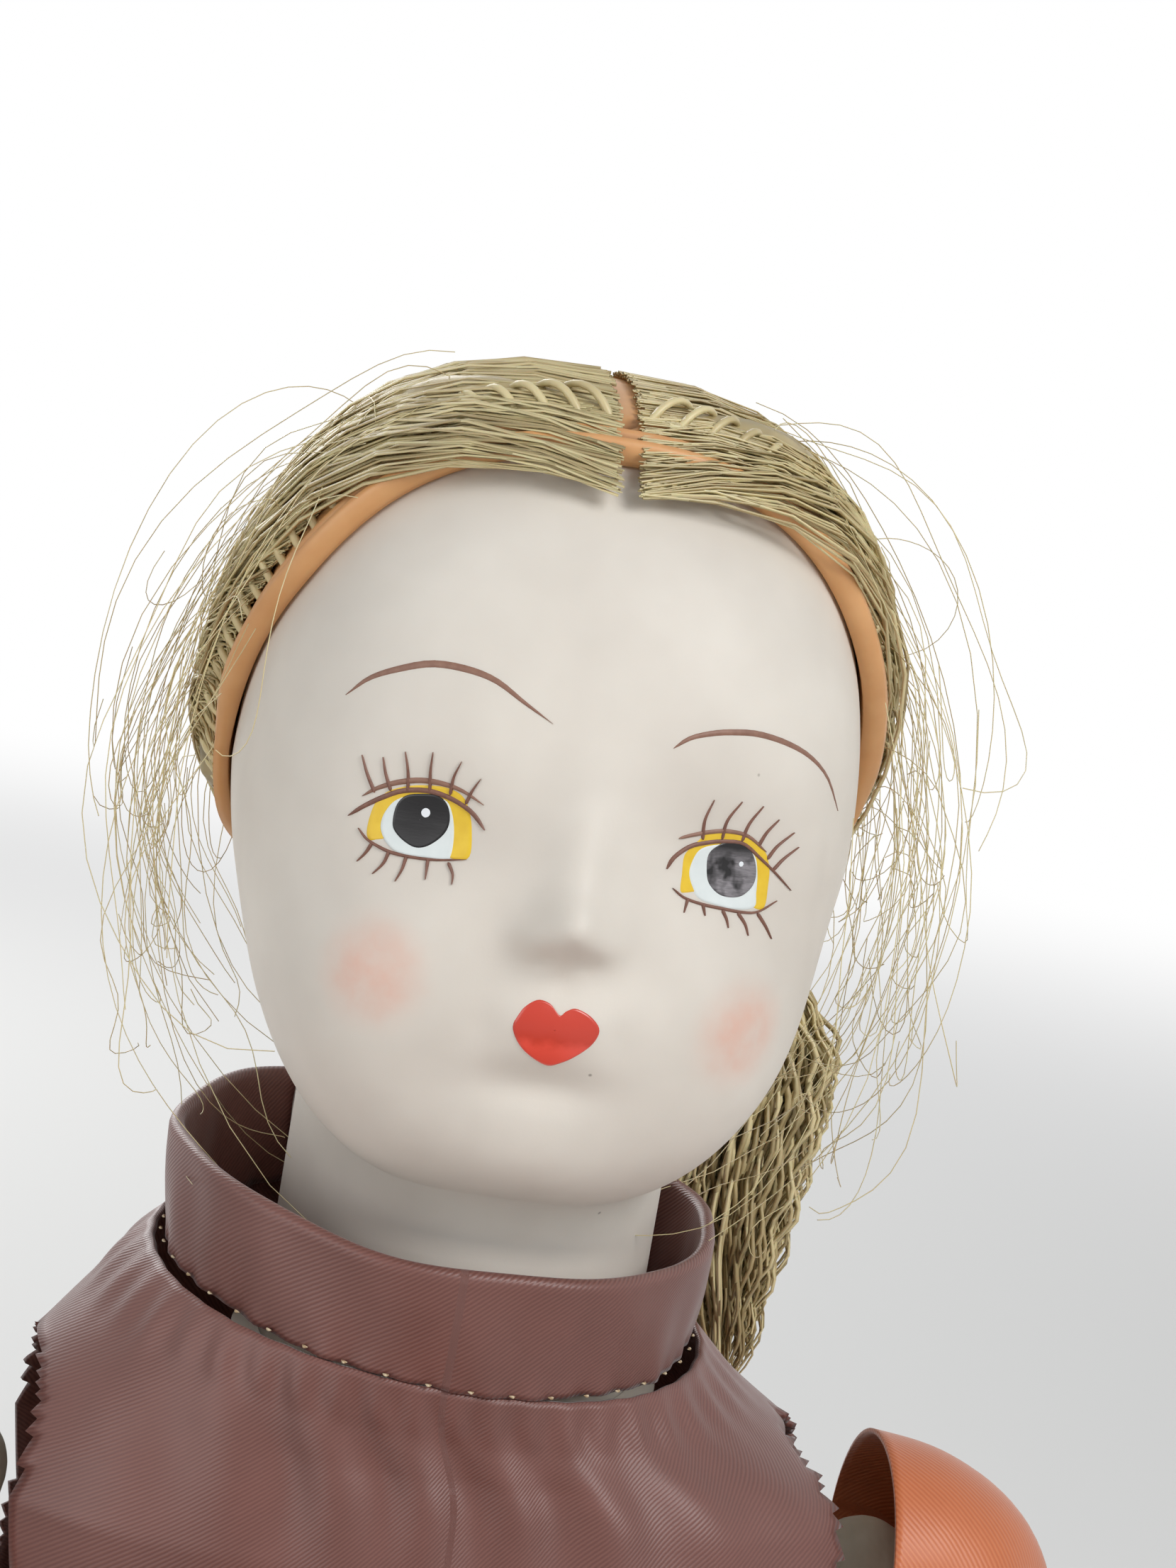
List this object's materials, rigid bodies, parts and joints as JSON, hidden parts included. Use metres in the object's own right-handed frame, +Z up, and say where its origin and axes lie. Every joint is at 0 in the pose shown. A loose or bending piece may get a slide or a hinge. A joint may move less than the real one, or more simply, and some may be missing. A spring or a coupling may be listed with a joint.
{
  "type": "porcelain doll",
  "caption": "Seated porcelain doll with swivel head on a shoulder plate, cloth body, bisque limbs, blond rooted wig and a brown and orange satin suit.",
  "frame": {"origin": "middle of the flat seat that the doll sits on", "axes": "+Z up, the face looks along -Y, +X towards the doll's left hand"},
  "size_m": [0.1314, 0.2219, 0.1893],
  "materials": {
    "bisque": "unglazed matte bisque, painted face",
    "cap_vinyl": "soft moulded vinyl, satin",
    "hair": "rooted nylon fibre",
    "elastic": "covered elastic",
    "steel": "bright wire and stampings",
    "brown_satin": "satin twill",
    "orange_satin": "satin twill",
    "white_tape": "woven hook-and-loop tape",
    "snap_metal": "lacquered press studs",
    "calico": "plain-woven cotton, stuffed",
    "thread": "waxed cotton cord"
  },
  "bodies": {
    "torso": {"torso": "calico", "shoulder_plate": "bisque", "plate_washer": "steel", "tunic": "brown_satin", "stand_collar": "brown_satin", "collar_tab": "white_tape", "back_snaps": "snap_metal", "trouser_seat": "brown_satin"},
    "hook": {"neck_hook": "steel", "hook_spring": "steel", "spring_washer": "steel", "wing_nut": "steel"},
    "head": {"head": "bisque", "neck_bar": "steel", "wig_cap": "cap_vinyl", "hair_left": "hair", "hair_right": "hair", "ponytail": "hair", "hair_tie": "elastic"},
    "arm_left": {"upper_arm_left": "calico", "sleeve_left": "orange_satin"},
    "forearm_left": {"forearm_left": "bisque", "arm_cord_left": "thread", "cuff_left": "brown_satin"},
    "thigh_left": {"thigh_left": "calico", "trouser_thigh_left": "brown_satin", "trouser_leg_left": "orange_satin"},
    "leg_left": {"lower_leg_left": "bisque", "leg_cord_left": "thread", "ankle_band_left": "brown_satin"},
    "arm_right": {"upper_arm_right": "calico", "sleeve_right": "orange_satin"},
    "forearm_right": {"forearm_right": "bisque", "arm_cord_right": "thread", "cuff_right": "brown_satin"},
    "thigh_right": {"thigh_right": "calico", "trouser_thigh_right": "brown_satin", "trouser_leg_right": "orange_satin"},
    "leg_right": {"lower_leg_right": "bisque", "leg_cord_right": "thread", "ankle_band_right": "brown_satin"}
  },
  "joints": [
    {"name": "head_turn", "type": "hinge", "parent": "torso", "child": "hook", "pos_m": [0, -0.01, 0.098], "axis": [0, 0, 1], "range_deg": [-40, 40], "deforming": ["ponytail"]},
    {"name": "head_nod", "type": "hinge", "parent": "hook", "child": "head", "pos_m": [0, -0.01, 0.098], "axis": [1, 0, 0], "range_deg": [-6, 6]},
    {"name": "shoulder_left", "type": "hinge", "parent": "torso", "child": "arm_left", "pos_m": [0.042, -0.011, 0.082], "axis": [1, 0, 0], "range_deg": [-120, 35]},
    {"name": "elbow_left", "type": "hinge", "parent": "arm_left", "child": "forearm_left", "pos_m": [0.05261, -0.00731, 0.0424], "axis": [1, 0, 0], "range_deg": [-38, 25], "deforming": ["sleeve_left"]},
    {"name": "hip_left", "type": "hinge", "parent": "torso", "child": "thigh_left", "pos_m": [0.0165, -0.023, 0.016], "axis": [1, 0, 0], "range_deg": [-8, 80], "deforming": ["trouser_thigh_left"]},
    {"name": "knee_left", "type": "hinge", "parent": "thigh_left", "child": "leg_left", "pos_m": [0.02058, -0.10089, 0.016], "axis": [1, 0, 0], "range_deg": [-4, 55], "deforming": ["trouser_leg_left"]},
    {"name": "shoulder_right", "type": "hinge", "parent": "torso", "child": "arm_right", "pos_m": [-0.042, -0.011, 0.082], "axis": [1, 0, 0], "range_deg": [-120, 35]},
    {"name": "elbow_right", "type": "hinge", "parent": "arm_right", "child": "forearm_right", "pos_m": [-0.05261, -0.00731, 0.0424], "axis": [1, 0, 0], "range_deg": [-38, 25], "deforming": ["sleeve_right"]},
    {"name": "hip_right", "type": "hinge", "parent": "torso", "child": "thigh_right", "pos_m": [-0.0165, -0.023, 0.016], "axis": [1, 0, 0], "range_deg": [-8, 80], "deforming": ["trouser_thigh_right"]},
    {"name": "knee_right", "type": "hinge", "parent": "thigh_right", "child": "leg_right", "pos_m": [-0.02058, -0.10089, 0.016], "axis": [1, 0, 0], "range_deg": [-4, 55], "deforming": ["trouser_leg_right"]}
  ]
}
